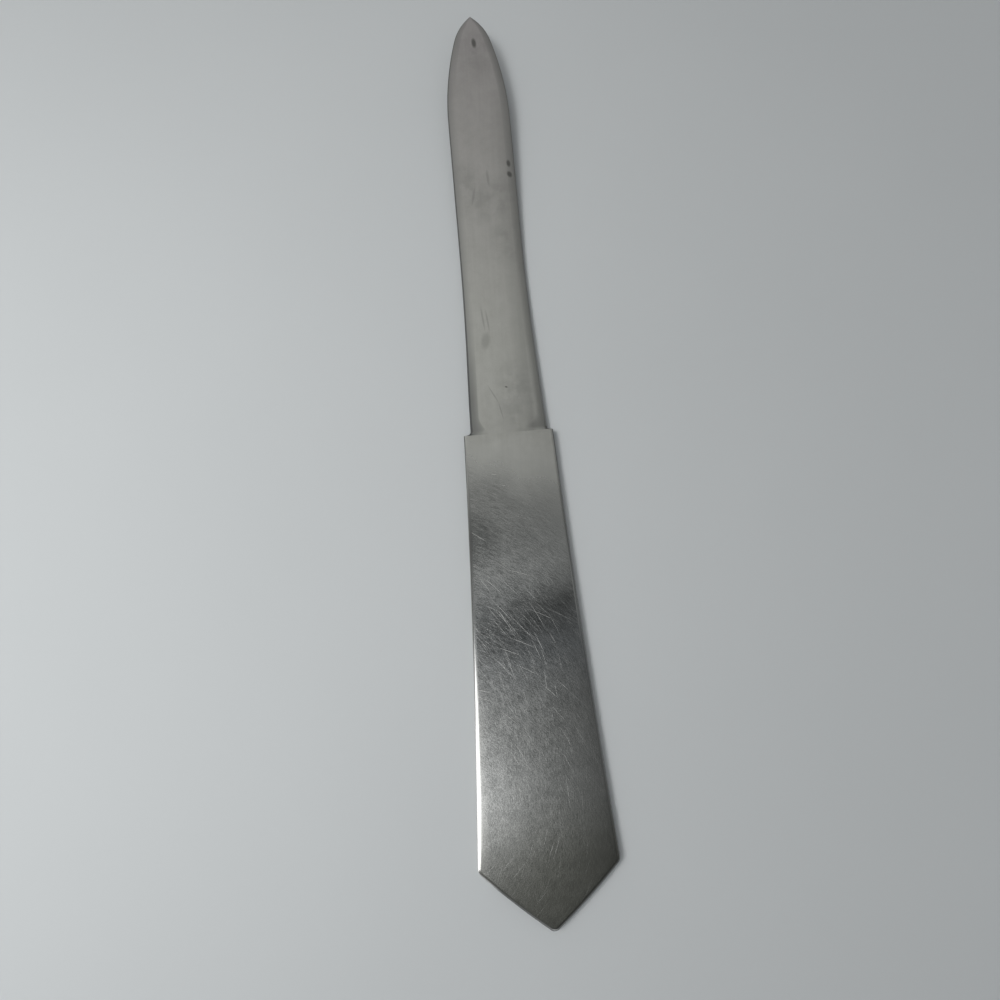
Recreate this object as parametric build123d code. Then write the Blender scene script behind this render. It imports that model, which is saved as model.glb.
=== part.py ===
from build123d import *
import math
import os

# All-metal letter opener lying flat, in millimetres.
# X runs across, Y along the blade towards the tip, Z up from the table.
# The origin is under the middle of the overall length and width, on the table.

# Handle
handle_thickness = 2.5
handle_front_width = 21.6
handle_rear_width = 31.2
handle_side_length = 98.0
side_bow = 0.5
pommel_angle = 40.4
pommel_tip_radius = 1.6
pommel_corner_radius = 2.0
handle_edge_radius = 0.75
handle_edge_land = 0.3

# Blade outline
blade_length = 113.5
blade_width = 16.5
shoulder_step = 1.25
shoulder_reveal = 0.12
flare_length = 49.0
tip_flank_radius = 75.0
tip_flank_angle = 17.5
tip_nose_radius = 13.0
tip_end_width = 0.5

# Blade section
blade_tip_thickness = 0.8
edge_root_thickness = 1.4
edge_tip_thickness = 0.35
eased_edge_width = 3.0
plunge_length = 2.4
taper_power = 1.5

# Upward bend of the blade
bend_start = 35.0
bend_length = 24.0
bend_angle = 5.0

# Tang and the joint inside the handle
tang_length = 40.0
tang_width = 10.0
tang_thickness = 1.0
tang_end_radius = 2.0
tang_clearance = 0.05
braze_thickness = 0.1
pin_diameter = 2.4
pin_seat_depth = 0.3
pin_margin = 10.0
pin_chamfer = 0.12
pin_clearance = 0.02

# Number of spans between blade sections
body_spans = 12
flank_spans = 4
nose_spans = 5

# Places that follow from the sizes above
front_half = handle_front_width / 2
rear_half = handle_rear_width / 2
blade_half = blade_width / 2
root_half = front_half - shoulder_step
root_fillet_radius = shoulder_step - shoulder_reveal
mid_height = handle_thickness / 2
plate_thickness = (handle_thickness - braze_thickness) / 2

pommel_slope = math.radians(pommel_angle)
pommel_point_length = rear_half * math.tan(pommel_slope)
pommel_tip_cut = pommel_tip_radius * (1 / math.cos(pommel_slope) - 1)
handle_length = handle_side_length + pommel_point_length - pommel_tip_cut
shoulder_y = (handle_length - blade_length) / 2

flank_end = math.radians(tip_flank_angle)
flank_half = blade_half - tip_flank_radius * (1 - math.cos(flank_end))
nose_end = math.acos(math.cos(flank_end) - (flank_half - tip_end_width / 2) / tip_nose_radius)
nose_length = tip_nose_radius * (math.sin(nose_end) - math.sin(flank_end))
nose_start = blade_length - nose_length
flank_start = nose_start - tip_flank_radius * math.sin(flank_end)

bend_slope = math.tan(math.radians(bend_angle))
pin_places = {
    "front_tang_pin": shoulder_y - pin_margin,
    "rear_tang_pin": shoulder_y - tang_length + pin_margin,
}


def blade_half_width(distance):
    """Half width of the blade at a distance from the shoulder: flare, parallel stretch, two-arc tip."""
    flare_left = max(0.0, 1 - distance / flare_length)
    half = blade_half + (root_half - blade_half) * flare_left**2
    into_flank = min(max(0.0, distance - flank_start), nose_start - flank_start)
    half -= tip_flank_radius - math.sqrt(tip_flank_radius**2 - into_flank**2)
    if distance > nose_start:
        sine = min(math.sin(flank_end) + (distance - nose_start) / tip_nose_radius, math.sin(nose_end))
        half -= tip_nose_radius * (math.cos(flank_end) - math.sqrt(1 - sine**2))
    return half


def tapered(at_root, at_tip, distance):
    """A thickness that leaves the shoulder level and thins towards the tip."""
    share = (1 - (distance / blade_length) ** taper_power) ** 2
    return at_tip + (at_root - at_tip) * share


def blade_underside(distance):
    """Height of the blade's flat underside: on the table, then an arc, then a straight rise."""
    past = max(0.0, distance - bend_start)
    if past <= bend_length:
        return bend_slope * past**2 / (2 * bend_length)
    return bend_slope * (past - bend_length / 2)


def cross_plane(distance):
    """Upright plane across the blade, with local X across and local Y up."""
    return Plane((0, shoulder_y + distance, 0), x_dir=(1, 0, 0), z_dir=(0, -1, 0))


def section(distance, half, flat_half, thickness, edge_thickness):
    """Blade section: flat middle on both faces, edges eased by arcs, and a narrow blunt edge each side."""
    middle = blade_underside(distance) + thickness / 2
    outline = []
    for level in (1, -1):
        face_height = middle + level * thickness / 2
        edge_height = middle + level * edge_thickness / 2
        outline.append(Line((-flat_half, face_height), (flat_half, face_height)))
        for side in (1, -1):
            ends = ((side * flat_half, face_height), (side * half, edge_height))
            outline.append(TangentArc(*ends, tangent=(side, 0)))
    for side in (1, -1):
        low, high = middle - edge_thickness / 2, middle + edge_thickness / 2
        outline.append(Line((side * half, low), (side * half, high)))
    return cross_plane(distance) * make_face(outline)


def ground_section(distance):
    """Section of the ground blade at a distance from the shoulder."""
    half = blade_half_width(distance)
    flat_half = half**2 / (half + eased_edge_width)
    thickness = tapered(handle_thickness, blade_tip_thickness, distance)
    edge_thickness = tapered(edge_root_thickness, edge_tip_thickness, distance)
    return section(distance, half, flat_half, thickness, edge_thickness)


def blade_stations():
    """Distances from the shoulder at which the blade's sections stand, closer together towards the tip."""
    body = flank_start - plunge_length
    stations = [plunge_length + body * step / body_spans for step in range(body_spans)]
    for step in range(flank_spans):
        stations.append(flank_start + tip_flank_radius * math.sin(flank_end * step / flank_spans))
    for step in range(nose_spans + 1):
        angle = flank_end + (nose_end - flank_end) * step / nose_spans
        stations.append(nose_start + tip_nose_radius * (math.sin(angle) - math.sin(flank_end)))
    return stations


def root_plan():
    """Plan of the blade's root: the shoulder corners are filled by arcs that end just inside the handle."""
    arc_end_half = blade_half_width(root_fillet_radius)
    end_half = blade_half_width(plunge_length)
    front_y = shoulder_y + plunge_length
    arc_y = shoulder_y + root_fillet_radius
    shoulder_half = arc_end_half + root_fillet_radius
    outline = [
        Line((-shoulder_half, shoulder_y), (shoulder_half, shoulder_y)),
        Line((-end_half, front_y), (end_half, front_y)),
    ]
    for side in (1, -1):
        corner = (side * shoulder_half, shoulder_y)
        outline.append(TangentArc(corner, (side * arc_end_half, arc_y), tangent=(-side, 0)))
        outline.append(Line((side * arc_end_half, arc_y), (side * end_half, front_y)))
    return make_face(outline)


def blade_root():
    """Short root where the ground edges run out, so that it meets the handle at full thickness."""
    block = extrude(root_plan(), handle_thickness)
    full_edge = handle_thickness - 2 * shoulder_reveal
    full_flat = front_half - shoulder_reveal
    full_section = section(0, front_half, full_flat, handle_thickness, full_edge)
    run_out = loft([full_section, ground_section(plunge_length)], ruled=True)
    return block & run_out


def tang_plan(clearance, front_reach):
    """Plan of the tang, or of its pocket when a clearance is given, up to a reach past the shoulder."""
    half = tang_width / 2 + clearance
    length = tang_length + clearance + front_reach
    middle_y = shoulder_y + front_reach - length / 2
    plan = Pos(0, middle_y) * Rectangle(2 * half, length)
    end_corners = plan.vertices().sort_by(Axis.Y)[:2]
    return fillet(end_corners, tang_end_radius + clearance)


def slab(plan, middle, thickness):
    """Flat slab of a plan, centred on a height."""
    return Pos(0, 0, middle - thickness / 2) * extrude(plan, thickness)


def pin_body(place_y, clearance):
    """Round pin across the tang, or its seat when a clearance is given."""
    length = tang_thickness + 2 * (pin_seat_depth + clearance)
    return Pos(0, place_y, mid_height) * Cylinder(pin_diameter / 2 + clearance, length)


def blade():
    """Ground blade with its root and the drilled tang, as one piece of steel."""
    body = loft([ground_section(distance) for distance in blade_stations()])
    tang = slab(tang_plan(0, plunge_length), mid_height, tang_thickness)
    steel = blade_root() + body + tang
    for place_y in pin_places.values():
        steel -= pin_body(place_y, pin_clearance)
    return steel


def handle_plan():
    """Plan of the handle: square front, slightly hollow sides, and a blunt point behind."""
    corner_y = shoulder_y - handle_side_length
    apex = (0, corner_y - pommel_point_length)
    bow_half = (front_half + rear_half) / 2 - side_bow
    bow_y = (shoulder_y + corner_y) / 2
    outline = [Line((-front_half, shoulder_y), (front_half, shoulder_y))]
    for side in (1, -1):
        front, corner = (side * front_half, shoulder_y), (side * rear_half, corner_y)
        outline.append(ThreePointArc(front, (side * bow_half, bow_y), corner))
        outline.append(Line(corner, apex))
    plan = make_face(outline)
    plan = fillet(plan.vertices().sort_by(Axis.Y)[0], pommel_tip_radius)
    corners = [plan.vertices().sort_by(Axis.X)[end] for end in (0, -1)]
    return fillet(corners, pommel_corner_radius)


def handle_half(level):
    """One plate of the handle, upper for level 1 and lower for -1, with a tang pocket and blind pin seats.

    Its outer edges are rounded, apart from the front one, which is level with the blade."""
    plate_middle = mid_height + level * (braze_thickness + plate_thickness) / 2
    plate = slab(handle_plan(), plate_middle, plate_thickness)
    outer_face = plate.faces().sort_by(Axis((0, 0, 0), (0, 0, level)))[-1]
    rim = outer_face.edges().sort_by(Axis.Y)[:-1]
    plate = fillet(rim, min(handle_edge_radius, plate_thickness - handle_edge_land))
    pocket_height = tang_thickness + 2 * tang_clearance
    plate -= slab(tang_plan(tang_clearance, plunge_length), mid_height, pocket_height)
    for place_y in pin_places.values():
        plate -= pin_body(place_y, pin_clearance)
    return plate


def tang_pin(place_y):
    """Hidden pin that holds the tang to both plates."""
    pin = pin_body(place_y, 0)
    return chamfer(pin.edges().filter_by(GeomType.CIRCLE), pin_chamfer)


def braze_layer():
    """Film of braze between the plates, all round the tang's pocket."""
    plan = handle_plan() - tang_plan(tang_clearance, plunge_length)
    return slab(plan, mid_height, braze_thickness)


os.makedirs("parts", exist_ok=True)
pieces = {
    "blade": blade(),
    "handle_upper_half": handle_half(1),
    "handle_lower_half": handle_half(-1),
    "braze_layer": braze_layer(),
}
for pin_name, pin_y in pin_places.items():
    pieces[pin_name] = tang_pin(pin_y)
for node_name, piece in pieces.items():
    export_step(piece, f"parts/{node_name}.step")
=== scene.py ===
import math

import bmesh
import bpy
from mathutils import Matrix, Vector, noise


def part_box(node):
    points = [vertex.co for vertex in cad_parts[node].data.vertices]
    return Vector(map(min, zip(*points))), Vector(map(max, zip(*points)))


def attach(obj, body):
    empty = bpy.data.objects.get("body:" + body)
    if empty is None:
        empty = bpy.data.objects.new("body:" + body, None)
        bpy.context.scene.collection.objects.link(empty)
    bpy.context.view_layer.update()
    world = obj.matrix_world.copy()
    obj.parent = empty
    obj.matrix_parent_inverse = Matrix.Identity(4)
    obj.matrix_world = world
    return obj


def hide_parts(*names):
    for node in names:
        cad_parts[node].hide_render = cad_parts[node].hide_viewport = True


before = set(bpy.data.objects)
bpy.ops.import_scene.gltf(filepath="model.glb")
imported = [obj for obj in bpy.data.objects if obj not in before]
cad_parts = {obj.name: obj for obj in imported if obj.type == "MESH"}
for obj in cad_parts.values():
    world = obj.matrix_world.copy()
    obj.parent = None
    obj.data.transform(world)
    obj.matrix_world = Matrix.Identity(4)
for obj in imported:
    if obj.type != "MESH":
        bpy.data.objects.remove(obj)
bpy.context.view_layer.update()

# All-metal letter opener on a pale table, in metres, in the frame of the CAD model.
# X runs across, Y along the blade towards the tip, Z up from the table.

mm = 0.001
merge_distance = 1e-7
sharp_angle = math.radians(35)

# Sizes read from the frame
upper_low, upper_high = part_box("handle_upper_half")
_, lower_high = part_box("handle_lower_half")
blade_low, blade_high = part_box("blade")
shoulder_y = upper_high.y
handle_thickness = upper_high.z
mid_height = handle_thickness / 2
seam_heights = {1: upper_low.z, -1: lower_high.z}
face_heights = {1: handle_thickness, -1: 0.0}
blade_length = blade_high.y - shoulder_y
tang_length = shoulder_y - blade_low.y
pin_boxes = [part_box("front_tang_pin"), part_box("rear_tang_pin")]

# Handle
front_half = 10.8 * mm
rear_half = 15.6 * mm
handle_side_length = 98 * mm
side_bow = 0.5 * mm
pommel_slope = math.radians(40.4)
pommel_normal = pommel_slope - math.pi / 2
pommel_tip_radius = 1.6 * mm
pommel_corner_radius = 2.14 * mm
pommel_bulge = math.radians(3)
handle_edge_radius = 0.75 * mm
edge_softening = 0.45 * mm
edge_drop = 0.38 * mm
corner_reach = 6 * mm
edge_support = 0.06 * mm
polish_depth = 0.02 * mm
polish_wave = 22 * mm
polish_slice = 0.37
polish_fade = 4 * mm

# Blade
blade_half = 8.25 * mm
shoulder_step = 1.25 * mm
root_half = front_half - shoulder_step
shoulder_reveal = 0.12 * mm
root_fillet_radius = front_half - root_half - shoulder_reveal
flare_length = 49 * mm
tip_flank_radius = 75 * mm
tip_flank_angle = math.radians(17.5)
tip_nose_radius = 13 * mm
tip_end_half = 0.25 * mm
blade_tip_thickness = 0.8 * mm
edge_root_thickness = 1.4 * mm
edge_tip_thickness = 0.35 * mm
eased_edge_width = 3 * mm
edge_rounding = 0.3
plunge_length = 2.4 * mm
scoop_length = 4.5 * mm
left_scoop_flare = 3.0 * mm
right_scoop_flare = 5.4 * mm
scoop_sweep = 1.3 * mm
scoop_end_radius = 0.9 * mm
scoop_edge_share = 0.8
left_grind = 0.12 * mm
left_root_grind = 0.3 * mm
left_root_reach = 15 * mm
right_grind = 0.18 * mm
right_grind_start = 15 * mm
right_grind_reach = 30 * mm
tip_grind_fade = 15 * mm
taper_power = 1.5
bend_start = 35 * mm
bend_length = 24 * mm
bend_slope = math.tan(math.radians(5))

# Marks on the blade in millimetres: place, half sizes and turn in degrees
# The last two are not pits but painted shade in the notches at the two ends of the joint at the shoulder.
blade_pits_and_notch_shade = (
    ((0.4, 104.6, 6.4), (0.75, 1.7, 3), 5),
    ((6.5, 70.3, 3.9), (0.6, 1.2, 3), 5),
    ((6.5, 67.3, 3.7), (0.75, 1.1, 3), 20),
    ((0.5, 10.2, 2.5), (0.45, 0.22, 1), -15),
    ((9.8, -0.9, 2.0), (1.1, 0.8, 2), 0),
    ((-9.8, -1.1, 2.2), (1.4, 0.5, 2), 0),
)
blade_stains = (
    ((-3.5, 22.6, 2.5), (1.4, 2.8, 2), -12),
    ((-3.7, 28.5, 2.5), (0.3, 4.0, 2), 5),
    ((-2.6, 28.0, 2.5), (0.3, 3.6, 2), 5),
    ((-3.3, 62.0, 3.4), (0.42, 3.0, 3), -13),
    ((0.8, 66.8, 3.6), (0.42, 2.7, 3), 3),
    ((-2.8, 8.6, 2.5), (0.2, 3.0, 2), 26),
    ((-1.3, 4.2, 2.5), (0.2, 2.6, 2), 11),
)
blade_smudges = (
    ((3.0, 6.0, 2.5), (6.0, 14.0, 2), 0),
    ((1.5, 60.5, 3.4), (10.0, 8.0, 4), 15),
    ((-4.5, 66.0, 3.4), (4.0, 8.0, 4), 0),
    ((4.0, 50.0, 3.0), (5.0, 9.0, 4), 0),
    ((1.5, 101.5, 6.4), (5.0, 9.0, 4), 0),
)

# The clearest scratches on the handle's face in millimetres: x, y, half length and turn in degrees
handle_scratches = (
    (-3.9, -46.9, 5.2, -55),
    (-1.4, -47.5, 4.9, -49),
    (-7.2, -44.5, 3.0, -54),
    (-3.9, -27.7, 1.5, -19),
    (-1.7, -30.2, 1.9, -61),
    (5.7, -37.7, 1.6, -59),
    (6.5, -37.5, 2.0, -55),
    (-7.8, -35.6, 1.5, -50),
    (3.9, -43.9, 1.9, -50),
    (1.6, -40.4, 1.7, -58),
    (5.7, -51.0, 1.7, -64),
    (-5.8, -56.8, 3.8, -49),
    (-4.9, -55.0, 3.7, -75),
    (-4.6, -66.9, 3.4, -57),
    (3.1, -60.2, 3.6, -87),
    (5.2, -62.4, 2.2, -84),
    (6.8, -56.1, 2.0, -83),
    (0.4, -56.9, 0.4, -38),
    (-2.1, -71.2, 1.6, -66),
    (-4.4, -11.4, 0.7, -15),
    (-2.3, -14.3, 0.5, -19),
    (0.8, -95.8, 1.6, 65),
)
scratch_half_width = 0.06

# Painted reflections on the handle's face: bright patches and, where the strength is negative, dark ones, in
# millimetres:
# place, half sizes, turn in degrees and strength
painted_reflection_patches = (
    ((-12, -27, 2.5), (9, 8, 2), 0, -1.0),
    ((-7, -36, 2.5), (11, 7, 2), 15, 0.5),
    ((3, -45, 2.5), (14, 4.5, 2), 22, -0.35),
)

# Polishing strokes run on arcs round this place, in millimetres
stroke_centre = (-43, -89, 2.5)
stroke_radius = 55

# Tang
tang_half = 5 * mm
tang_thickness = 1 * mm
tang_end_radius = 2 * mm
tang_clearance = 0.05 * mm
pin_clearance = 0.02 * mm

# Where the two arcs of the blade's tip begin
flank_half = blade_half - tip_flank_radius * (1 - math.cos(tip_flank_angle))
nose_end = math.acos(math.cos(tip_flank_angle) - (flank_half - tip_end_half) / tip_nose_radius)
nose_start = blade_length - tip_nose_radius * (math.sin(nose_end) - math.sin(tip_flank_angle))
flank_start = nose_start - tip_flank_radius * math.sin(tip_flank_angle)


# Meshes

def new_object(name, bm):
    """Object made from a bmesh, linked to the scene."""
    bmesh.ops.remove_doubles(bm, verts=bm.verts[:], dist=merge_distance)
    bmesh.ops.recalc_face_normals(bm, faces=bm.faces[:])
    mesh = bpy.data.meshes.new(name)
    bm.to_mesh(mesh)
    bm.free()
    made = bpy.data.objects.new(name, mesh)
    bpy.context.scene.collection.objects.link(made)
    return made


def new_vertices(bm, edge_layer, points):
    """Vertices at (x, y, z), each with its share of the rounded edge, which sets the painted shade and
    highlight on the edges.
    """
    made = []
    for *place, edge in points:
        made.append(bm.verts.new(place))
        made[-1][edge_layer] = edge
    return made


def join_rings(bm, rings):
    """Faces between successive closed rings of vertices."""
    count = len(rings[0])
    for near, far in zip(rings, rings[1:]):
        for i in range(count):
            j = (i + 1) % count
            bm.faces.new((near[i], near[j], far[j], far[i]))


def carve(target, tool, operation):
    """Applies a boolean operation to the target and removes the tool."""
    modifier = target.modifiers.new("carve", "BOOLEAN")
    modifier.operation = operation
    modifier.solver = "EXACT"
    modifier.object = tool
    depsgraph = bpy.context.evaluated_depsgraph_get()
    evaluated = target.evaluated_get(depsgraph)
    carved = bpy.data.meshes.new_from_object(evaluated, preserve_all_data_layers=True, depsgraph=depsgraph)
    target.modifiers.clear()
    target.data = carved
    bpy.data.objects.remove(tool)


def slab(outline, low, high):
    """Upright prism of a plan outline between two heights."""
    bm = bmesh.new()
    rings = [[bm.verts.new((x, y, height)) for x, y in outline] for height in (low, high)]
    for ring in rings:
        bm.faces.new(ring)
    join_rings(bm, rings)
    return new_object("slab", bm)


def arc(centre, radius, start, end, spans):
    """Points on an arc from one angle to another."""
    angles = [start + (end - start) * step / spans for step in range(spans + 1)]
    return [(centre[0] + radius * math.cos(a), centre[1] + radius * math.sin(a)) for a in angles]


def tang_slab(clearance, front_reach):
    """The tang, or the tool that cuts its pocket when a clearance is given."""
    spans = 8
    half = tang_half + clearance
    radius = tang_end_radius + clearance
    end_y = shoulder_y - tang_length - clearance
    front_y = shoulder_y + front_reach
    height = tang_thickness / 2 + clearance
    outline = [(half, front_y), (-half, front_y)]
    outline += arc((radius - half, end_y + radius), radius, math.pi, 1.5 * math.pi, spans)
    outline += arc((half - radius, end_y + radius), radius, -0.5 * math.pi, 0, spans)
    return slab(outline, mid_height - height, mid_height + height)


def pin_drill(pin_box):
    """Tool that cuts one pin's seat."""
    spans = 48
    low, high = pin_box
    centre = (low + high) / 2
    radius = (high.x - low.x) / 2 + pin_clearance
    outline = arc(centre, radius, 0, 2 * math.pi, spans)[:-1]
    return slab(outline, low.z - pin_clearance, high.z + pin_clearance)


def finish_piece(piece, node, material):
    """Shades a piece smoothly between its sharp edges and puts it in the place of its CAD node."""
    piece.data.shade_smooth()
    piece.data.set_sharp_from_angle(angle=sharp_angle)
    piece.data.materials.clear()
    piece.data.materials.append(material)
    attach(piece, "root")
    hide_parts(node)


# Blade

def blade_half_width(distance):
    """Half width of the blade at a distance from the shoulder: flare, parallel stretch, two-arc tip."""
    flare_left = max(0.0, 1 - distance / flare_length)
    half = blade_half + (root_half - blade_half) * flare_left**2
    into_flank = min(max(0.0, distance - flank_start), nose_start - flank_start)
    half -= tip_flank_radius - math.sqrt(tip_flank_radius**2 - into_flank**2)
    if distance > nose_start:
        sine = math.sin(tip_flank_angle) + (distance - nose_start) / tip_nose_radius
        sine = min(sine, math.sin(nose_end))
        half -= tip_nose_radius * (math.cos(tip_flank_angle) - math.sqrt(1 - sine**2))
    return half


def tapered(at_root, at_tip, distance):
    """A thickness that leaves the shoulder level and thins towards the tip."""
    share = (1 - (min(distance, blade_length) / blade_length) ** taper_power) ** 2
    return at_tip + (at_root - at_tip) * share


def blade_underside(distance):
    """Height of the blade's flat underside: on the table, then an arc, then a straight rise."""
    past = max(0.0, distance - bend_start)
    if past <= bend_length:
        return bend_slope * past**2 / (2 * bend_length)
    return bend_slope * (past - bend_length / 2)


def ground_section(distance):
    """Half width, flat half width, thickness and edge thickness of the ground blade."""
    half = blade_half_width(distance)
    flat_half = half**2 / (half + eased_edge_width)
    thickness = tapered(handle_thickness, blade_tip_thickness, distance)
    edge_thickness = tapered(edge_root_thickness, edge_tip_thickness, distance)
    return half, flat_half, thickness, edge_thickness


def scoop_depth(distance, out):
    """Share of the grinding depth near the shoulder, where the grinding ends in a cove with a swept end.

    The share out runs from 0 at the flat to 1 at the edge."""
    end = scoop_sweep * (1 - out) ** 2
    short = min(1.0, max(0.0, 1 - (distance - end) / scoop_end_radius))
    return 1 - short**2


def left_inset(distance):
    """How much narrower the blade is on its left, where hand grinding took more."""
    root = max(0.0, 1 - distance / left_root_reach) ** 2
    fade = min(1.0, distance / root_fillet_radius, (blade_length - distance) / tip_grind_fade)
    return fade * (left_grind + left_root_grind * root)


def right_inset(distance):
    """How much narrower the blade is on its right, past the flare."""
    past = max(0.0, distance - right_grind_start)
    fade = min(1.0, past / right_grind_reach, (blade_length - distance) / tip_grind_fade)
    return fade * right_grind


def plan_half_width(distance):
    """Half width of the blade's outline, with the concave arcs at the shoulder."""
    if distance >= root_fillet_radius:
        return blade_half_width(distance)
    reach = root_fillet_radius - distance
    centre = blade_half_width(root_fillet_radius) + root_fillet_radius
    return centre - math.sqrt(root_fillet_radius**2 - reach**2)


def edge_profile(distance, scoop_flare):
    """Half of the upper section from the axis to the edge, and the blade's thickness there.

    The section's points are (across, height above the middle, edge share)."""
    flat_spans, arc_spans, nose_spans = 10, 12, 5
    ground_half, flat_half, thickness, edge_thickness = ground_section(distance)
    half = plan_half_width(distance)
    flat_half -= scoop_flare * max(0.0, 1 - distance / scoop_length) ** 2
    width = ground_half - flat_half
    depth = (thickness - edge_thickness) / 2
    cove = scoop_depth(distance, 1)
    nose = min(edge_rounding * edge_thickness * cove + shoulder_reveal * (1 - cove), (half - flat_half) / 2)

    def out(across):
        return min(max(0.0, across - flat_half) / width, 1.0)

    def height(across):
        return thickness / 2 - depth * out(across) ** 2 * scoop_depth(distance, out(across))

    # Share of the rounded edge, which sets the painted shade on the bevels; the scoop keeps some of it.
    def edge_share_at(across):
        scooped = scoop_depth(distance, out(across))
        kept = scoop_edge_share * (1 - scooped) * out(across) ** 2
        return (across - flat_half) / (half - flat_half) * (scooped + kept)

    profile = [(flat_half * step / flat_spans, thickness / 2, 0.0) for step in range(flat_spans)]
    for step in range(arc_spans):
        across = flat_half + (half - nose - flat_half) * step / arc_spans
        profile.append((across, height(across), edge_share_at(across)))
    for step in range(nose_spans + 1):
        turn = math.pi / 2 * step / nose_spans
        across = half - nose + nose * math.sin(turn)
        profile.append((across, height(across) * math.cos(turn), 1.0))
    return profile, thickness


def blade_stations():
    """Distances from the shoulder, close together at the root fillet, the scoop and the tip."""
    fillet_spans, scoop_spans, body_spans, flank_spans, nose_spans = 16, 10, 90, 24, 32
    scoop_rest = scoop_length - root_fillet_radius
    body = flank_start - scoop_length
    stations = []
    for step in range(fillet_spans):
        stations.append(root_fillet_radius * (1 - math.cos(math.pi / 2 * step / fillet_spans)))
    stations += [root_fillet_radius + scoop_rest * step / scoop_spans for step in range(scoop_spans)]
    stations += [scoop_length + body * step / body_spans for step in range(body_spans)]
    for step in range(flank_spans):
        stations.append(flank_start + tip_flank_radius * math.sin(tip_flank_angle * step / flank_spans))
    for step in range(nose_spans + 1):
        angle = tip_flank_angle + (nose_end - tip_flank_angle) * step / nose_spans
        stations.append(nose_start + tip_nose_radius * (math.sin(angle) - math.sin(tip_flank_angle)))
    return stations


def blade_ring(distance):
    """Closed section of the blade, over the top and back underneath, and the number of its upper points."""
    left_profile, thickness = edge_profile(distance, left_scoop_flare)
    right_profile, thickness = edge_profile(distance, right_scoop_flare)
    middle = blade_underside(distance) + thickness / 2
    left = 1 - left_inset(distance) / left_profile[-1][0]
    right = 1 - right_inset(distance) / right_profile[-1][0]
    over = [(-x * left, z, edge) for x, z, edge in reversed(left_profile[1:])]
    over += [(x * right, z, edge) for x, z, edge in right_profile]
    y = shoulder_y + distance
    upper = [(x, y, middle + z, edge) for x, z, edge in over]
    lower = [(x, y, middle - z, edge) for x, z, edge in over[1:-1]]
    return upper + lower[::-1], len(over)


def cap(bm, ring, over_count):
    """Closes an end of the blade with faces from its upper to its lower side."""
    upper = ring[:over_count]
    lower = [ring[0]] + ring[:over_count - 1:-1] + [ring[over_count - 1]]
    for i in range(over_count - 1):
        corners = list(dict.fromkeys((upper[i], upper[i + 1], lower[i + 1], lower[i])))
        bm.faces.new(corners)


def ground_blade(material):
    """The ground blade with its root, and the drilled tang that hides in the handle."""
    bm = bmesh.new()
    edge_layer = bm.verts.layers.float.new("edge")
    rings = []
    for distance in blade_stations():
        points, over_count = blade_ring(distance)
        rings.append(new_vertices(bm, edge_layer, points))
    join_rings(bm, rings)
    cap(bm, rings[0], over_count)
    cap(bm, rings[-1], over_count)
    piece = new_object("ground_blade", bm)
    carve(piece, tang_slab(0, plunge_length), "UNION")
    for pin_box in pin_boxes:
        carve(piece, pin_drill(pin_box), "DIFFERENCE")
    finish_piece(piece, "blade", material)


# Handle plates

def rounded(centre, radius, start, end, spans):
    """Points on an arc, each with its outward direction."""
    angles = [start + (end - start) * step / spans for step in range(spans + 1)]
    return list(zip(arc(centre, radius, start, end, spans), angles))


def handle_side(reach):
    """Points of the hollow right side, from the front to a share of its length, with outward directions."""
    spans = 60
    widening = rear_half - front_half
    side = []
    for step in range(spans):
        share = reach * step / spans
        x = front_half + widening * share - side_bow * 4 * share * (1 - share)
        slope = widening - side_bow * 4 * (1 - 2 * share)
        side.append(((x, shoulder_y - handle_side_length * share), math.atan2(slope, handle_side_length)))
    # The front row runs square across.
    side[0] = (side[0][0], 0.0)
    return side


def pommel_edge(start, end):
    """Points between the two ends of the right pommel edge, which bows out, with outward directions."""
    spans = 14
    outward = Vector((math.cos(pommel_normal), math.sin(pommel_normal)))
    bow = math.tan(pommel_bulge) * (end - start).length / 4
    edge = []
    for step in range(1, spans):
        share = step / spans
        place = start.lerp(end, share) + outward * bow * 4 * share * (1 - share)
        edge.append((tuple(place), pommel_normal + pommel_bulge * (1 - 2 * share)))
    return edge


def handle_rim():
    """Right half of the handle's outline from the front to the blunt point: (x, y) and outward direction."""
    corner_spans, apex_spans = 14, 8
    corner_y = shoulder_y - handle_side_length
    side_normal = math.atan2(rear_half - front_half + 4 * side_bow, handle_side_length)
    reach = pommel_corner_radius / math.cos((side_normal - pommel_normal) / 2)
    bisector = (side_normal + pommel_normal) / 2
    corner_centre = (rear_half - reach * math.cos(bisector), corner_y - reach * math.sin(bisector))
    corner_end = pommel_normal + pommel_bulge
    corner = rounded(corner_centre, pommel_corner_radius, side_normal, corner_end, corner_spans)
    apex_y = corner_y - rear_half * math.tan(pommel_slope)
    apex_centre = (0, apex_y + pommel_tip_radius / math.cos(pommel_slope))
    apex_start = pommel_normal - pommel_bulge
    apex = rounded(apex_centre, pommel_tip_radius, apex_start, -math.pi / 2, apex_spans)
    side_end_y = corner[0][0][1]
    side = handle_side((shoulder_y - side_end_y) / handle_side_length)
    return side + corner + pommel_edge(Vector(corner[-1][0]), Vector(apex[0][0])) + apex


def polish_hollow(x, y):
    """Depth of the shallow unevenness that hand polishing leaves."""
    swell = noise.noise(Vector((x / polish_wave, y / polish_wave, polish_slice)))
    return polish_depth * (0.5 + 0.5 * swell)


def rounding_width(y, side):
    """Width of the rounded edge, which is softer on the left towards the pommel, but not at its corner."""
    if side > 0:
        return handle_edge_radius
    worn = (shoulder_y - y) / handle_side_length
    off_corner = min(1.0, max(0.0, 1 - worn) * handle_side_length / corner_reach)
    return handle_edge_radius + edge_softening * worn * off_corner


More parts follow.
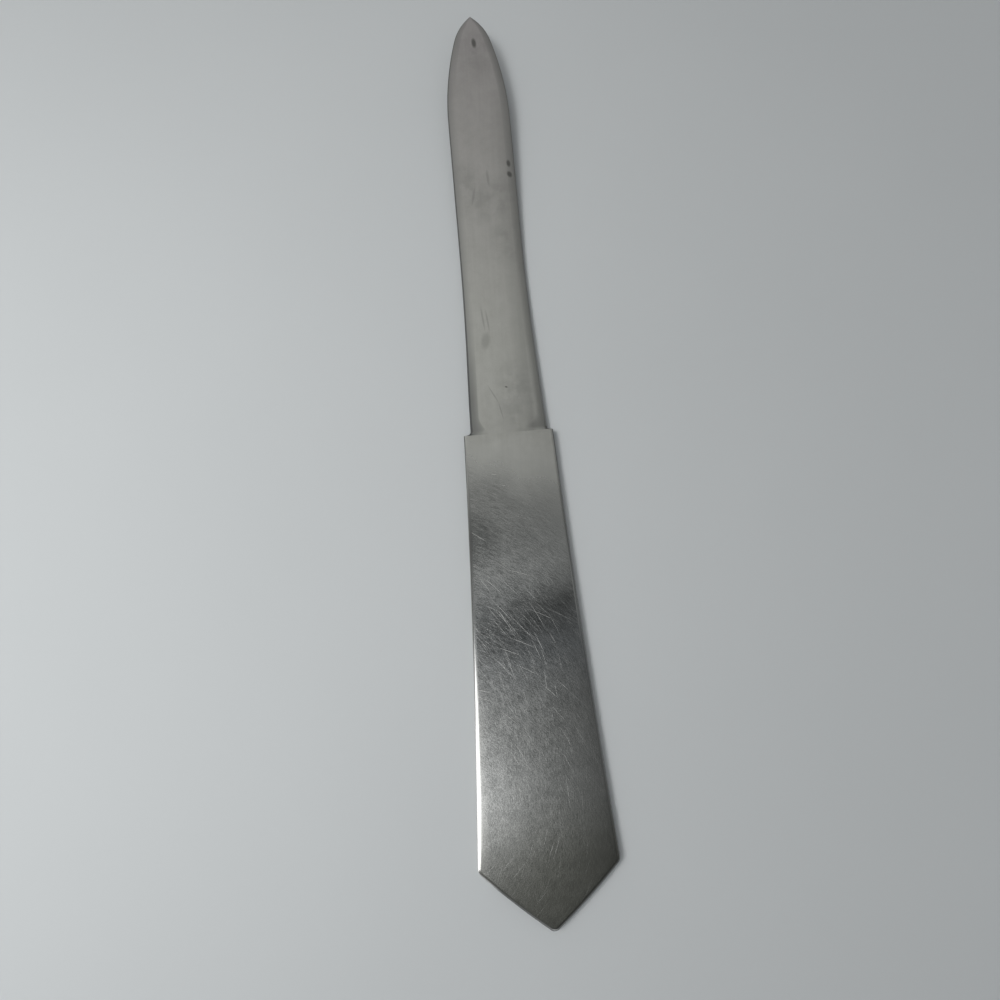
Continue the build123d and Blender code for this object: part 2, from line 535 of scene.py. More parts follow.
def half_row(rim_point, direction, level, side):
    """One side of a plate's row of points: seam, wall, rounded edge, and the rim of the face."""
    spans = 10
    x, y = rim_point
    edge_width = rounding_width(y, side)

    def inside(inset, drop, edge):
        inner_x = side * max(0.0, x - inset * math.cos(direction))
        inner_y = min(y - inset * math.sin(direction), shoulder_y)
        return inner_x, inner_y, face_heights[level] - level * drop, edge

    row = [(side * x, y, seam_heights[level], 1.0)]
    for step in range(spans + 1):
        turn = math.pi / 2 * step / spans
        inset = edge_width * (1 - math.cos(turn))
        drop = edge_drop * (1 - math.sin(turn))
        row.append(inside(inset, drop, 1 - step / spans))
    return row + [inside(edge_width + edge_support, 0, 0)]


def face_points(right_end, left_end, level):
    """Points across a plate's face from one half row to the other, uneven on the upper face."""
    spans = 14
    (right_x, right_y), (left_x, left_y) = right_end[:2], left_end[:2]
    face = []
    for step in range(1, spans):
        share = step / spans
        across = right_x + (left_x - right_x) * share
        along = right_y + (left_y - right_y) * share
        inland = min(right_x - across, across - left_x, shoulder_y - along)
        fade = min(1.0, inland / polish_fade) if level > 0 else 0.0
        height = face_heights[level] - level * fade * polish_hollow(across, along)
        face.append((across, along, height, 0.0))
    return face


def plate_row(rim_point, direction, level):
    """Row of points over a plate: up its right side, across the face and down its left side."""
    right = half_row(rim_point, direction, level, 1)
    left = half_row(rim_point, direction, level, -1)
    return right + face_points(right[-1], left[-1], level) + left[::-1]


def handle_plate(name, node, level, material):
    """One plate of the handle, upper for level 1 and lower for -1, with the pocket and the pin seats."""
    bm = bmesh.new()
    edge_layer = bm.verts.layers.float.new("edge")
    rows = [new_vertices(bm, edge_layer, plate_row(*place, level)) for place in handle_rim()]
    join_rings(bm, rows)
    bm.faces.new(rows[0])
    piece = new_object(name, bm)
    carve(piece, tang_slab(tang_clearance, plunge_length), "DIFFERENCE")
    for pin_box in pin_boxes:
        carve(piece, pin_drill(pin_box), "DIFFERENCE")
    finish_piece(piece, node, material)


# Materials
# Places in them are in millimetres, and strengths are shares from 0 to 1.

# Colours, from dark to light where there are two
matte_steel = ((0.53, 0.535, 0.51), (0.635, 0.64, 0.615))
# The tip's colour is darker and faintly pink: painted shade on the upturned tip.
tip_shade_steel = ((0.335, 0.323, 0.326), (0.432, 0.417, 0.42))
polished_steel = ((0.26, 0.27, 0.265), (0.74, 0.75, 0.74))
braze_colours = ((0.50, 0.485, 0.43), (0.62, 0.60, 0.54))
pin_colours = ((0.46, 0.46, 0.45), (0.56, 0.56, 0.55))
table_colours = ((0.60, 0.625, 0.63), (0.64, 0.665, 0.67))
# Smudges, a darker strip on the blade, and painted shade towards the right of the blade and of the handle's
# front
smudge_and_painted_shade_steel = (0.20, 0.20, 0.195)
stained_steel = (0.20, 0.20, 0.19)
# Painted shade on the blade's eased edges, and darker still on the thin line along their rims
blade_edge_painted_shade = (0.22, 0.225, 0.22)
blade_rim_painted_shade = (0.08, 0.08, 0.08)
# Pits, and painted shade in the notches at the shoulder
pit_and_notch_shade_steel = (0.10, 0.10, 0.095)
scratched_steel = (0.9, 0.9, 0.88)
# Painted highlight on the handle's left edge and just inside it
painted_highlight_steel = (0.93, 0.93, 0.91)
# Painted shade on the handle's other rims
handle_rim_painted_shade = (0.13, 0.135, 0.13)

# Scratches on the handle: angles to the strokes, first seed, spacing, width, length and strength
scratch_groups = (
    ((-26, -15, -5, 5, 15, 26), 0, 0.34, 0.09, 5.0, 0.32),
    ((-22, -14, -7, 3, 12, 20), 30, 0.75, 0.09, 8.0, 0.76),
    ((-28, -12, -3, 9, 24), 10, 1.6, 0.1, 8.0, 0.56),
)

# How the finishes vary
seed_step = (3.7, 5.3)
scratch_rarity = 1.5
brushed_angles = (-15, 13)
first_brushed_seed = 20
brushed_contrast = 0.95
speckle_contrast = 1.1
brushed_middle = 1.5
cloud_contrast = 0.4
patch_falloff = 0.7
patch_contrast = 0.2
pit_and_notch_shade_strength = 0.8
edge_steepness = 0.45
edge_darkness = 0.62
polish_raggedness = 14.0
polish_lean = 0.35

# Roughness, as a range where it varies, and fine relief
blade_roughness = (0.5, 0.6)
handle_roughness = (0.55, 0.125)
scratch_roughness = 0.3
braze_roughness = (0.35, 0.55)
pin_roughness = (0.25, 0.4)
table_roughness = 0.6
bump_strength = 0.4
blade_relief = 0.06 * mm
blade_grain = 0.2
handle_relief = 0.02 * mm
handle_grain = 0.1

# Ranges that a look fades in or out through
rising = (0, 1)
falling = (1, 0)


def add_node(tree, kind, inputs=None, **settings):
    """Adds a node with its settings, and its inputs set to values or linked to sockets."""
    made = tree.nodes.new(kind)
    for key, value in settings.items():
        setattr(made, key, value)
    for key, value in (inputs or {}).items():
        if isinstance(value, bpy.types.NodeSocket):
            tree.links.new(value, made.inputs[key])
        else:
            made.inputs[key].default_value = value
    return made


def calc(tree, operation, first, second=0.0):
    """A Math node's output for two values."""
    return add_node(tree, "ShaderNodeMath", {0: first, 1: second}, operation=operation).outputs[0]


def combine(tree, operation, values):
    """One Math operation carried through several values."""
    result, *others = values
    for value in others:
        result = calc(tree, operation, result, value)
    return result


def total(tree, *values):
    """The sum of several values."""
    return combine(tree, "ADD", values)


def product(tree, *values):
    """Several values multiplied together."""
    return combine(tree, "MULTIPLY", values)


def strongest(tree, values):
    """The largest of several values."""
    return combine(tree, "MAXIMUM", values)


def difference(tree, first, second):
    """The first value less the second."""
    return calc(tree, "SUBTRACT", first, second)


def remap(tree, value, source, target):
    """A value moved from one range to another and kept within it."""
    inputs = {
        "Value": value,
        "From Min": source[0],
        "From Max": source[1],
        "To Min": target[0],
        "To Max": target[1],
    }
    return add_node(tree, "ShaderNodeMapRange", inputs, clamp=True).outputs["Result"]


def axes(tree, vector):
    """The X, Y and Z outputs of a vector."""
    return add_node(tree, "ShaderNodeSeparateXYZ", {"Vector": vector}).outputs


def millimetres(tree):
    """Places on the piece in millimetres."""
    coordinates = add_node(tree, "ShaderNodeTexCoord").outputs["Object"]
    inputs = {"Vector": coordinates, "Scale": (1 / mm, 1 / mm, 1 / mm)}
    return add_node(tree, "ShaderNodeMapping", inputs).outputs["Vector"]


def noise_value(tree, place, scale, detail=3.0, roughness=0.5):
    """Soft noise with so many waves per millimetre."""
    inputs = {"Vector": place, "Scale": scale, "Detail": detail, "Roughness": roughness}
    return add_node(tree, "ShaderNodeTexNoise", inputs).outputs["Fac"]


def swing(tree, place, scale, detail=3.0, roughness=0.5):
    """Soft noise that swings about 0."""
    return difference(tree, noise_value(tree, place, scale, detail, roughness), 0.5)


def mark(tree, place, centre, half_sizes, turn=0.0):
    """An ellipsoid mark: 1 at its centre, falling to 0 at its rim."""
    inputs = {
        "Vector": place,
        "Location": centre,
        "Rotation": (0, 0, math.radians(turn)),
        "Scale": half_sizes,
    }
    local = add_node(tree, "ShaderNodeMapping", inputs, vector_type="TEXTURE").outputs["Vector"]
    inputs = {"Vector": local}
    return add_node(tree, "ShaderNodeTexGradient", inputs, gradient_type="SPHERICAL").outputs["Fac"]


def marks(tree, place, table):
    """The strongest of the marks in a table of centres, half sizes and turns."""
    return strongest(tree, [mark(tree, place, *entry) for entry in table])


def turned_grain(tree, place, angle, along, across, seed):
    """Places turned so that X runs at an angle, then squeezed to so many cells per millimetre each way."""
    start = (seed * seed_step[0], seed * seed_step[1], 0)
    inputs = {"Vector": place, "Rotation": (0, 0, math.radians(-angle)), "Location": start}
    turned = add_node(tree, "ShaderNodeMapping", inputs).outputs["Vector"]
    inputs = {"Vector": turned, "Scale": (along, across, 0)}
    return add_node(tree, "ShaderNodeMapping", inputs).outputs["Vector"]


def swept(tree, place):
    """Places measured along and across the arcs of the polishing strokes."""
    inputs = {0: place, 1: stroke_centre}
    offset = add_node(tree, "ShaderNodeVectorMath", inputs, operation="SUBTRACT").outputs[0]
    x, y, _ = axes(tree, offset)
    turn = calc(tree, "ARCTAN2", y, x)
    squares = total(tree, calc(tree, "POWER", x, 2), calc(tree, "POWER", y, 2))
    inputs = {"X": product(tree, turn, stroke_radius), "Y": calc(tree, "SQRT", squares)}
    return add_node(tree, "ShaderNodeCombineXYZ", inputs).outputs[0]


def scratches(tree, place, angle, seed, spacing, width, length):
    """Tapered scratches of a width and length that lie at one angle, some faint and some clear."""
    stretch = length / width
    cells_at = turned_grain(tree, place, angle, 1 / (spacing * stretch), 1 / spacing, seed)
    inputs = {"Vector": cells_at, "Scale": 1.0}
    cells = add_node(tree, "ShaderNodeTexVoronoi", inputs, voronoi_dimensions="2D").outputs
    line = remap(tree, cells["Distance"], (width / 6 / spacing, width / 2 / spacing), falling)
    chance = add_node(tree, "ShaderNodeSeparateColor", {"Color": cells["Color"]}).outputs[0]
    return product(tree, line, calc(tree, "POWER", chance, scratch_rarity))


def brushing(tree, place, angle, along, across, seed):
    """Fine grain drawn out along one angle."""
    grain_at = turned_grain(tree, place, angle, along, across, seed)
    inputs = {"Vector": grain_at, "Scale": 1.0, "Detail": 3.0, "Roughness": 0.65}
    return add_node(tree, "ShaderNodeTexNoise", inputs, noise_dimensions="2D").outputs["Fac"]


def upper_side(tree):
    """1 on faces that look up, 0 on those that look down."""
    normal = add_node(tree, "ShaderNodeNewGeometry").outputs["Normal"]
    return remap(tree, axes(tree, normal)["Z"], (-0.1, 0.1), rising)


def edge_share(tree):
    """How far a place lies out on the rounded edge, from 0 on the face to 1 on the rim."""
    return add_node(tree, "ShaderNodeAttribute", attribute_name="edge").outputs["Fac"]


def blend(tree, amount, first, second):
    """A colour between two, each a colour or a socket, by an amount from 0 to 1."""
    mix = add_node(tree, "ShaderNodeMix", data_type="RGBA")
    tree.links.new(amount, mix.inputs["Factor"])
    for socket, value in ((mix.inputs[6], first), (mix.inputs[7], second)):
        if isinstance(value, bpy.types.NodeSocket):
            tree.links.new(value, socket)
        else:
            socket.default_value = (*value, 1)
    return mix.outputs[2]


def layered(tree, colour, layers):
    """A colour with others laid over it, each by its own amount."""
    for amount, over in layers:
        colour = blend(tree, amount, colour, over)
    return colour


def new_material(name, kind):
    """An empty material with one shader."""
    material = bpy.data.materials.new(name)
    material.use_nodes = True
    tree = material.node_tree
    tree.nodes.clear()
    shader = add_node(tree, kind)
    add_node(tree, "ShaderNodeOutputMaterial", {"Surface": shader.outputs[0]})
    return material, tree, shader


def new_metal(name):
    """An empty metal."""
    material, tree, shader = new_material(name, "ShaderNodeBsdfPrincipled")
    shader.inputs["Metallic"].default_value = 1.0
    return material, tree, shader


def set_surface(tree, shader, colour, roughness):
    """Links the colour and the roughness to the shader."""
    tree.links.new(colour, shader.inputs["Base Color"])
    tree.links.new(roughness, shader.inputs["Roughness"])


def set_relief(tree, shader, height, depth):
    """Links fine relief of a depth to the shader."""
    inputs = {"Height": height, "Strength": bump_strength, "Distance": depth}
    bump = add_node(tree, "ShaderNodeBump", inputs)
    tree.links.new(bump.outputs[0], shader.inputs["Normal"])


def matte_finish(tree, place):
    """Colour, tone and grain of blasted steel, the same on the blade and on the front of the handle, with
    painted shade towards the right.
    """
    grain = noise_value(tree, place, 4.0, 2.0)
    layers = (
        (noise_value(tree, place, 0.09, 4.0, 0.55), 0.5),
        (grain, 0.25),
        (brushing(tree, place, 88, 0.05, 1.1, 2), 0.25),
        (swing(tree, place, 0.24, 2.0), 0.3),
        (swing(tree, place, 0.5, 4.0, 0.6), 0.35),
    )
    tone = total(tree, *[product(tree, layer, strength) for layer, strength in layers])
    tone = remap(tree, tone, (0.33, 0.67), rising)
    # Painted shade: the steel is darker towards the right.
    right = remap(tree, axes(tree, place)["X"], (-3, 9), (0, 0.22))
    colour = blend(tree, right, blend(tree, tone, *matte_steel), smudge_and_painted_shade_steel)
    return colour, tone, grain


def painted_blade_edge_shade(tree, across, along):
    """How much painted shade lies on the blade's eased edges, and how much on the thin line along their rims.
    """
    edge = edge_share(tree)
    left_root = product(tree, remap(tree, across, (-4, -8), (0, 0.25)), remap(tree, along, (8, 22), falling))
    right_root = product(tree, remap(tree, across, (4, 8), (0, 0.3)), remap(tree, along, (40, 60), falling))
    left_body = product(tree, remap(tree, across, (-4, -6), (0, 0.6)), remap(tree, along, (16, 34), rising))
    steepness = total(tree, difference(tree, edge_steepness, left_root), right_root, left_body)
    shade = product(tree, calc(tree, "POWER", edge, steepness), total(tree, left_root, edge_darkness))
    rim = remap(tree, edge, (0.82, 0.95), rising)
    line = product(tree, rim, remap(tree, across, (-4, 4), (0.55, 0.2)))
    return shade, line


def blade_steel():
    """Matte blasted steel, with smudges and a few pits, and painted shade on the tip, towards the right, on
    the eased edges and rims and in the notches at the shoulder.
    """
    material, tree, shader = new_metal("blade_steel")
    place = millimetres(tree)
    across, along, _ = axes(tree, place)
    root_colour, tone, grain = matte_finish(tree, place)
    upper = upper_side(tree)
    # The pits also hold painted shade in the notches at the shoulder.
    pits = product(tree, remap(tree, marks(tree, place, blade_pits_and_notch_shade), (0, 0.5), rising), upper)
    stains = product(tree, remap(tree, marks(tree, place, blade_stains), (0, 0.5), (0, 0.3)), upper)
    patches = remap(tree, noise_value(tree, place, 0.32, 3.0, 0.55), (0.4, 0.62), (0.15, 1))
    smudges = product(tree, remap(tree, marks(tree, place, blade_smudges), (0, 0.6), (0, 0.24)), patches)
    strip_start = remap(tree, across, (2.5, 6), (0, 0.28))
    strip_end = remap(tree, across, (6, 7.3), (0, 0.28))
    strip = product(tree, difference(tree, strip_start, strip_end), remap(tree, along, (84, 98), falling))
    # Painted shade on the eased edges and on the thin line along their rims.
    edges, line = painted_blade_edge_shade(tree, across, along)
    # The tip colour paints the shade of the upturned tip.
    colour = layered(tree, root_colour, (
        (remap(tree, along, (20, 105), rising), blend(tree, tone, *tip_shade_steel)),
        (smudges, smudge_and_painted_shade_steel),
        (strip, smudge_and_painted_shade_steel),
        (stains, stained_steel),
        (edges, blade_edge_painted_shade),
        (line, blade_rim_painted_shade),
        (product(tree, pits, pit_and_notch_shade_strength), pit_and_notch_shade_steel),
    ))
    set_surface(tree, shader, colour, remap(tree, tone, (0, 1), blade_roughness))
    set_relief(tree, shader, difference(tree, product(tree, grain, blade_grain), pits), blade_relief)
    return material


def handle_lines(tree, place, strokes, worn):
    """Strength of the handle's scratches: generated where it is worn, the clearest in their own places."""
    groups = []
    for angles, first_seed, *sizes, strength in scratch_groups:
        lines = strongest(tree, [
            scratches(tree, strokes, angle, seed, *sizes)
            for seed, angle in enumerate(angles, first_seed)
        ])
        groups.append(product(tree, lines, strength))
    placed = strongest(tree, [
        mark(tree, place, (x, y, handle_thickness / mm), (half_length, scratch_half_width, 1), turn)
        for x, y, half_length, turn in handle_scratches
    ])
    generated = product(tree, strongest(tree, groups), worn)
    return strongest(tree, (generated, remap(tree, placed, (0, 0.4), (0, 0.42))))


def handle_shift(tree, place, strokes, worn):
    """How much lighter or darker the polished steel is: brushing and clouds where it is worn, and painted
    reflections in patches.
    """
    strands = total(tree, *[
        brushing(tree, strokes, angle, 0.45, 6.5, seed)
        for seed, angle in enumerate(brushed_angles, first_brushed_seed)
    ])
    speckle = product(tree, noise_value(tree, place, 5.5, 1.0), speckle_contrast)
    brushed = total(tree, product(tree, strands, brushed_contrast), speckle)
    clouds = product(tree, swing(tree, place, 0.3, 2.0), cloud_contrast)
    shift = product(tree, total(tree, difference(tree, brushed, brushed_middle), clouds), worn)
    # Painted reflections: bright and dark patches on the face.
    for *patch, strength in painted_reflection_patches:
        spread = calc(tree, "POWER", mark(tree, place, *patch), patch_falloff)
        shift = total(tree, shift, product(tree, spread, patch_contrast * strength))
    return shift


def from_left_side(tree, across, along):
    """Distance from the handle's hollow left side in millimetres."""
    run = calc(tree, "DIVIDE", difference(tree, shoulder_y / mm, along), handle_side_length / mm)
    rise = product(tree, run, (rear_half - front_half - 4 * side_bow) / mm)
    bend = product(tree, calc(tree, "POWER", run, 2.0), 4 * side_bow / mm)
    return total(tree, across, total(tree, rise, bend, front_half / mm))


def handle_wear(tree, place, across, along):
    """How polished the handle is, with a ragged front, and how worn by strokes."""
    smudges = product(tree, noise_value(tree, place, 0.11, 3.0, 0.55), polish_raggedness)
    ragged = total(tree, along, smudges, product(tree, across, polish_lean))
    polish = product(tree, remap(tree, ragged, (9, -11), rising), remap(tree, along, (-1.5, -6), rising))
    worn = product(
        tree,
        remap(tree, ragged, (-1, -30), rising),
        remap(tree, along, (-66, -106), (1, 0.4)),
        remap(tree, across, (2, 12), (1, 0.45)),
        remap(tree, edge_share(tree), (0, 0.15), (1, 0.1)),
    )
    return polish, worn


def handle_edges(tree, across, along):
    """How much painted highlight lies beside the handle's left side and on the left end's edge, and how much
    painted shade on the other rims.
    """
    edge = edge_share(tree)
    beside_left = remap(tree, from_left_side(tree, across, along), (1, 2.8), (0.38, 0))
    # Painted highlight just inside the left edge.
    left_side_highlight = product(tree, beside_left, remap(tree, along, (-56, -72), rising))
    left_end = remap(tree, across, (-10.5, -13), (0, 0.85))
    left_end_highlight = product(tree, remap(tree, edge, (0.05, 0.25), rising), left_end)
    # Painted shade on the rims, except the left end's.
    rim = product(tree, remap(tree, edge, (0.42, 0.58), (0, 0.9)), difference(tree, 1.0, left_end))
    return left_side_highlight, left_end_highlight, rim


def handle_steel():
    """Steel that turns from blasted at the shoulder to polished behind, worn by fine diagonal scratches, with
    painted reflections on its face, painted highlights along its left edge and painted shade on its other
    rims.
    """
    material, tree, shader = new_metal("handle_steel")
    place = millimetres(tree)
    across, along, _ = axes(tree, place)
    matte_colour, _, grain = matte_finish(tree, place)
    polish, worn = handle_wear(tree, place, across, along)
    strokes = swept(tree, place)
    lines = handle_lines(tree, place, strokes, worn)
    shift = handle_shift(tree, place, strokes, worn)
    left_side_highlight, left_end_highlight, rim = handle_edges(tree, across, along)
    colour = layered(tree, matte_colour, (
        (polish, blend(tree, remap(tree, shift, (-0.26, 0.26), rising), *polished_steel)),
        (lines, scratched_steel),
        (left_side_highlight, painted_highlight_steel),
        (left_end_highlight, painted_highlight_steel),
        (rim, handle_rim_painted_shade),
    ))
    smoothed = remap(tree, polish, (0, 1), handle_roughness)
    roughness = total(tree, smoothed, product(tree, lines, scratch_roughness))
    set_surface(tree, shader, colour, roughness)
    set_relief(tree, shader, difference(tree, product(tree, grain, handle_grain), lines), handle_relief)
    return material


def braze_alloy():
    """Pale silver braze with small runs."""
    material, tree, shader = new_metal("braze_alloy")
    runs = noise_value(tree, millimetres(tree), 1.2, 3.0)
    roughness = remap(tree, runs, (0.3, 0.7), braze_roughness)
    set_surface(tree, shader, blend(tree, runs, *braze_colours), roughness)
    return material


def pin_steel():
    """Turned steel with fine rings round the pin."""
    material, tree, shader = new_metal("pin_steel")
    inputs = {"Vector": millimetres(tree), "Scale": 3.0, "Distortion": 1.0}
    rings = add_node(tree, "ShaderNodeTexWave", inputs, bands_direction="Z").outputs["Fac"]
    roughness = remap(tree, rings, (0, 1), pin_roughness)
    set_surface(tree, shader, blend(tree, rings, *pin_colours), roughness)
    return material


def table_paint():
    """Pale, faintly cool table top."""
    material, tree, shader = new_material("table_paint", "ShaderNodeBsdfPrincipled")
    cloud = noise_value(tree, millimetres(tree), 0.012, 3.0)
    tree.links.new(blend(tree, cloud, *table_colours), shader.inputs["Base Color"])
    shader.inputs["Roughness"].default_value = table_roughness
    return material


# Stage

camera_place = Vector((-6.552, -52.027, 177.134)) * mm
camera_pitch = math.radians(78.853)
camera_heading = math.radians(5.070)
focal_share = 0.751
sensor_width = 36.0
clip_near = 10 * mm
clip_far = 10.0
floor_half = 3.0
ceiling_height = 450 * mm
ceiling_half = 900 * mm

# Sky: its colour, its level everywhere, and what reflections and the camera see more
sky_colour = (0.96, 0.98, 1.0, 1)
sky_level = 0.28
sky_mirrored = 0.24
sky_seen = 0.08

# Lights
key_place = Vector((-0.32, 0.05, 0.62))
key_target = Vector((0, 0, 0))
key_angle = math.radians(46)
key_energy = 0.65
pool_place = Vector((-0.42, 0.0, 0.6))
pool_target = Vector((-0.2, -0.03, 0))
pool_radius = 0.17
pool_cone = math.radians(50)
pool_energy = 12

# Window card, and in millimetres the centre and half sizes of its bright spot
card_x = -0.4
card_front, card_back = -0.085, -0.3
card_low, card_high = 0.05, 0.4
card_spot = ((-400, -195, 225), (400, 150, 260))
card_strength = 1.4

# Light on the ceiling along the handle: mirrored place in millimetres, level and tint
olive = (1.0, 1.01, 0.91)
plain = (0.985, 1.0, 0.985)
cool = (0.95, 1.0, 1.05)
cream = (1.0, 1.0, 0.96)
ramp_start, ramp_end = -340, 120
ceiling_stops = (
    (-330, 0.40, plain),
    (-220, 0.25, plain),
    (-150, 0.09, plain),
    (-112, 0.12, olive),
    (-97, 0.167, olive),
    (-84, 0.265, plain),
    (-64, 0.25, plain),
    (-52, 0.20, cool),
    (-36, 0.345, plain),
    (-27, 0.235, plain),
    (-10, 0.31, cream),
    (8, 0.86, cream),
    (110, 0.80, cream),
)

# Spots on the ceiling by their mirrored places in millimetres: centre, half sizes and turn in degrees
dark_band = ((4, -45.5, 0), (34, 7.5, 1), 22)
glow_spot = ((-22, -85, 0), (28, 23, 1))
halo_spot = ((-27, -62, 0), (30, 26, 1))
panel_spot = ((-90, -78, 0), (66, 34, 1))
rear_spot = ((0, -300, 0), (90, 130, 1))

# Level left in the dark band, strengths of the other spots, and how the dimmer sides lie
band_level = 0.29
glow_strength = 1.5
halo_strength = 0.95
panel_strength = 1.6
rear_strength = 0.9
right_side_lean = 0.05
far_corner_direction = (0.67, -0.74, 0)


def stage_plane(name, half, height, material):
    """Level square that belongs to the stage."""
    bm = bmesh.new()
    bmesh.ops.create_grid(bm, x_segments=1, y_segments=1, size=half)
    for vertex in bm.verts:
        vertex.co.z = height
    made = new_object(name, bm)
    made.data.materials.append(material)
    return made


def glossy_only(made):
    """Shows an object only in reflections."""
    for rays in ("camera", "diffuse", "transmission", "volume_scatter", "shadow"):
        setattr(made, f"visible_{rays}", False)


def mirrored_places(tree):
    """Places on the ceiling in millimetres, as the places on the handle that mirror them to the camera."""
    rise = (ceiling_height - handle_thickness) / (camera_place.z - handle_thickness)
    scale = 1 / (mm * (1 + rise))
    offset = camera_place * rise * scale
    coordinates = add_node(tree, "ShaderNodeTexCoord").outputs["Object"]
    inputs = {"Vector": coordinates, "Scale": (scale, scale, 0), "Location": (offset.x, offset.y, 0)}
    return add_node(tree, "ShaderNodeMapping", inputs).outputs["Vector"]


def ceiling_ramp(tree, along):
    """Colour of the ceiling along the handle."""
    share = remap(tree, along, (ramp_start, ramp_end), rising)
    ramp = add_node(tree, "ShaderNodeValToRGB", {"Fac": share})
    elements = ramp.color_ramp.elements
    ready = len(elements)
    for number, (stop, level, tint) in enumerate(ceiling_stops):
        position = (stop - ramp_start) / (ramp_end - ramp_start)
        element = elements[number] if number < ready else elements.new(position)
        element.position = position
        element.color = (*(level * part for part in tint), 1)
    return ramp.outputs["Color"]


def ceiling_shade(tree, mirrored, across, along):
    """What is left of the ceiling's light: a dark slanting band crosses it, and its sides are dimmer."""
    slant = total(tree, across, product(tree, along, right_side_lean))
    near_right = total(tree, remap(tree, slant, (-2, 8), (0, 0.36)), remap(tree, slant, (6, 12), (0, 0.36)))
    near_right = difference(tree, near_right, remap(tree, slant, (14, 24), (0, 0.5)))
    near_right = product(tree, near_right, remap(tree, along, (-28, -60), rising))
    right = remap(tree, across, (15, 40), rising)
    far_right = product(tree, right, remap(tree, along, (-20, 6), (0.1, 0.35)))
    inputs = {0: mirrored, 1: far_corner_direction}
    out = add_node(tree, "ShaderNodeVectorMath", inputs, operation="DOT_PRODUCT").outputs["Value"]
    far_corner = difference(tree, remap(tree, out, (74, 90), (0, 0.6)), remap(tree, out, (94, 110), (0, 0.4)))
    far_corner = product(tree, far_corner, remap(tree, across, (-5, 6), rising))
    left = remap(tree, across, (-13, -60), rising)
    far_left = product(tree, left, remap(tree, along, (-58, -40), (0, 0.5)))
    lean = remap(tree, across, (-60, 60), (-0.45, 0.45))
    front_lean = product(tree, lean, remap(tree, along, (-30, -5), rising))
    shade = remap(tree, mark(tree, mirrored, *dark_band), (0, 0.6), (1, band_level))
    for dimmer in (near_right, far_right, far_corner, far_left, front_lean):
        shade = product(tree, shade, difference(tree, 1.0, dimmer))
    return shade


def ceiling_panels(tree, mirrored):
    """Light of the bright soft spots on the ceiling."""
    glow = product(tree, calc(tree, "POWER", mark(tree, mirrored, *glow_spot), 2.0), glow_strength)
    halo = product(tree, calc(tree, "POWER", mark(tree, mirrored, *halo_spot), 2.0), halo_strength)
    panel = remap(tree, mark(tree, mirrored, *panel_spot), (0, 0.3), (0, panel_strength))
    rear = product(tree, mark(tree, mirrored, *rear_spot), rear_strength)
    return total(tree, glow, halo, panel, rear)


def ceiling_glow():
    """Soft light overhead, painted by the place on the handle that mirrors it to the camera."""
    material, tree, shader = new_material("ceiling_glow", "ShaderNodeEmission")
    mirrored = mirrored_places(tree)
    across, along, _ = axes(tree, mirrored)
    inputs = {0: ceiling_ramp(tree, along), "Scale": ceiling_shade(tree, mirrored, across, along)}
    dimmed = add_node(tree, "ShaderNodeVectorMath", inputs, operation="SCALE").outputs[0]
    inputs = {0: dimmed, 1: ceiling_panels(tree, mirrored)}
    colour = add_node(tree, "ShaderNodeVectorMath", inputs, operation="ADD").outputs[0]
    tree.links.new(colour, shader.inputs["Color"])
    return material


def window_card():
    """Bright upright card on the left that lights the handle's rounded edge."""
    material, tree, shader = new_material("window_glow", "ShaderNodeEmission")
    spot = mark(tree, millimetres(tree), *card_spot)
    tree.links.new(remap(tree, spot, (0, 0.35), (0, card_strength)), shader.inputs["Strength"])
    bm = bmesh.new()
    corners = ((card_front, card_low), (card_back, card_low), (card_back, card_high), (card_front, card_high))
    bm.faces.new([bm.verts.new((card_x, y, z)) for y, z in corners])
    card = new_object("window_card", bm)
    card.data.materials.append(material)
    return card


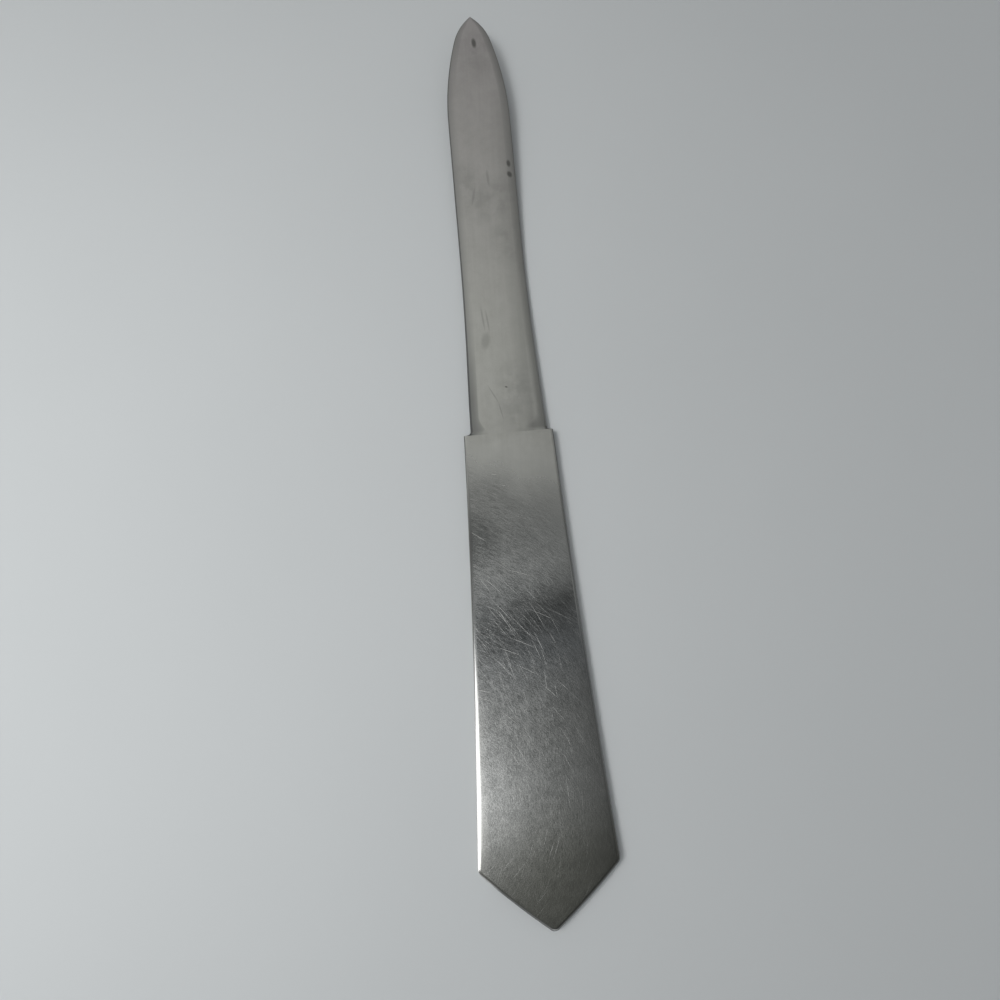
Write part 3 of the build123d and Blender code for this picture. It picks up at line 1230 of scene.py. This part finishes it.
def surroundings():
    """Even sky, brighter in reflections."""
    world = bpy.data.worlds.new("surroundings")
    world.use_nodes = True
    tree = world.node_tree
    background = tree.nodes["Background"]
    background.inputs["Color"].default_value = sky_colour
    rays = add_node(tree, "ShaderNodeLightPath").outputs
    mirrored = product(tree, rays["Is Glossy Ray"], sky_mirrored)
    seen = product(tree, rays["Is Camera Ray"], sky_seen)
    tree.links.new(total(tree, mirrored, seen, sky_level), background.inputs["Strength"])
    return world


def add_light(name, kind, place, target, energy):
    """Light at a place that shines towards a target and shows in no reflection."""
    light_data = bpy.data.lights.new(name, kind)
    light_data.energy = energy
    light = bpy.data.objects.new(name, light_data)
    light.location = place
    light.rotation_euler = (target - place).to_track_quat("-Z", "Y").to_euler()
    light.visible_glossy = False
    bpy.context.scene.collection.objects.link(light)
    return light_data


def add_camera():
    """Camera at the photograph's angle."""
    camera_data = bpy.data.cameras.new("camera")
    camera_data.sensor_width = sensor_width
    camera_data.lens = sensor_width * focal_share
    camera_data.clip_start = clip_near
    camera_data.clip_end = clip_far
    camera = bpy.data.objects.new("camera", camera_data)
    camera.location = camera_place
    camera.rotation_euler = (math.pi / 2 - camera_pitch, 0, -camera_heading)
    bpy.context.scene.collection.objects.link(camera)
    bpy.context.scene.camera = camera


def build_stage():
    """Table, overhead glow, window card, surroundings, lights and the camera."""
    stage_plane("table", floor_half, 0.0, table_paint())
    glossy_only(stage_plane("ceiling", ceiling_half, ceiling_height, ceiling_glow()))
    glossy_only(window_card())
    bpy.context.scene.world = surroundings()
    bpy.context.scene.view_settings.view_transform = "Standard"
    key = add_light("key", "SUN", key_place, key_target, key_energy)
    key.angle = key_angle
    pool = add_light("pool", "SPOT", pool_place, pool_target, pool_energy)
    pool.shadow_soft_size = pool_radius
    pool.spot_size = pool_cone
    pool.spot_blend = 1.0
    add_camera()


# The part and its stage

ground_blade(blade_steel())
plate_material = handle_steel()
handle_plate("upper_plate", "handle_upper_half", 1, plate_material)
handle_plate("lower_plate", "handle_lower_half", -1, plate_material)
hidden_material = pin_steel()
for node_name, node_material in (
    ("braze_layer", braze_alloy()),
    ("front_tang_pin", hidden_material),
    ("rear_tang_pin", hidden_material),
):
    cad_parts[node_name].material_slots[0].material = node_material
build_stage()
